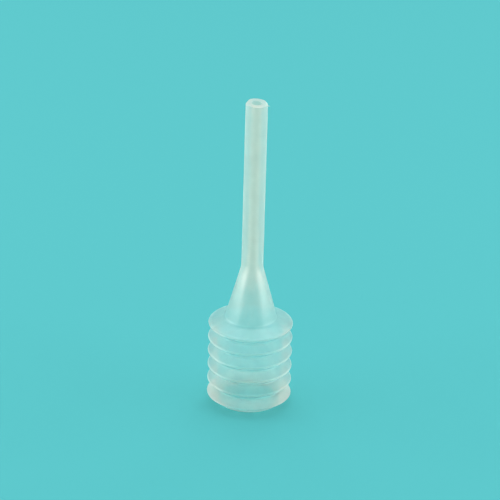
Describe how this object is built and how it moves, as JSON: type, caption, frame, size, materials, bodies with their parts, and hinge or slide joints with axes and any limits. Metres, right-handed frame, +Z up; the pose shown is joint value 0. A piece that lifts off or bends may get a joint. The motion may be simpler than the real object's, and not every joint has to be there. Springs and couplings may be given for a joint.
{
  "type": "bellows saliva ejector tip",
  "caption": "Soft translucent bellows bulb, closed at its foot, with a long straight hollow nozzle tube on a cone; squeezed to blow or draw a small amount of liquid.",
  "frame": {"origin": "middle of the foot, on the surface that it stands on", "axes": "+Z up along the nozzle's axis; the mould's parting plane is XZ"},
  "size_m": [0.016, 0.016, 0.0615],
  "materials": {
    "polyethylene": "milky translucent, soft gloss"
  },
  "bodies": {
    "foot": {"closed_foot": "polyethylene"},
    "fold_1": {"fold_1": "polyethylene"},
    "valley_1": {"valley_1": "polyethylene"},
    "fold_2": {"fold_2": "polyethylene"},
    "valley_2": {"valley_2": "polyethylene"},
    "fold_3": {"fold_3": "polyethylene"},
    "valley_3": {"valley_3": "polyethylene"},
    "fold_4": {"fold_4": "polyethylene"},
    "valley_4": {"valley_4": "polyethylene"},
    "fold_5": {"fold_5": "polyethylene"},
    "nozzle": {"valley_5": "polyethylene", "shoulder": "polyethylene", "nozzle_cone": "polyethylene", "nozzle_tube": "polyethylene"}
  },
  "joints": [
    {"name": "squeeze_1", "type": "slide", "parent": "foot", "child": "fold_1", "axis": [0, 0, -1], "range_m": [0, 0.0015], "stiffness_N_per_m": 4000, "deforming": ["fold_1"]},
    {"name": "lean_front_1", "type": "hinge", "parent": "fold_1", "child": "valley_1", "pos_m": [0, 0, 0.00296], "axis": [1, 0, 0], "range_deg": [-2.8, 2.8], "stiffness_Nm_per_rad": 0.3},
    {"name": "squeeze_2", "type": "slide", "parent": "valley_1", "child": "fold_2", "axis": [0, 0, -1], "range_m": [0, 0.0015], "stiffness_N_per_m": 4000, "deforming": ["fold_2"]},
    {"name": "lean_side_2", "type": "hinge", "parent": "fold_2", "child": "valley_2", "pos_m": [0, 0, 0.00588], "axis": [0, 1, 0], "range_deg": [-4, 4], "stiffness_Nm_per_rad": 0.3},
    {"name": "squeeze_3", "type": "slide", "parent": "valley_2", "child": "fold_3", "axis": [0, 0, -1], "range_m": [0, 0.0015], "stiffness_N_per_m": 4000, "deforming": ["fold_3"]},
    {"name": "lean_front_3", "type": "hinge", "parent": "fold_3", "child": "valley_3", "pos_m": [0, 0, 0.0088], "axis": [1, 0, 0], "range_deg": [-2.8, 2.8], "stiffness_Nm_per_rad": 0.3},
    {"name": "squeeze_4", "type": "slide", "parent": "valley_3", "child": "fold_4", "axis": [0, 0, -1], "range_m": [0, 0.0015], "stiffness_N_per_m": 4000, "deforming": ["fold_4"]},
    {"name": "lean_side_4", "type": "hinge", "parent": "fold_4", "child": "valley_4", "pos_m": [0, 0, 0.01172], "axis": [0, 1, 0], "range_deg": [-4, 4], "stiffness_Nm_per_rad": 0.3},
    {"name": "squeeze_5", "type": "slide", "parent": "valley_4", "child": "fold_5", "axis": [0, 0, -1], "range_m": [0, 0.0015], "stiffness_N_per_m": 4000, "deforming": ["fold_5"]},
    {"name": "lean_front_5", "type": "hinge", "parent": "fold_5", "child": "nozzle", "pos_m": [0, 0, 0.01464], "axis": [1, 0, 0], "range_deg": [-2.8, 2.8], "stiffness_Nm_per_rad": 0.3}
  ]
}
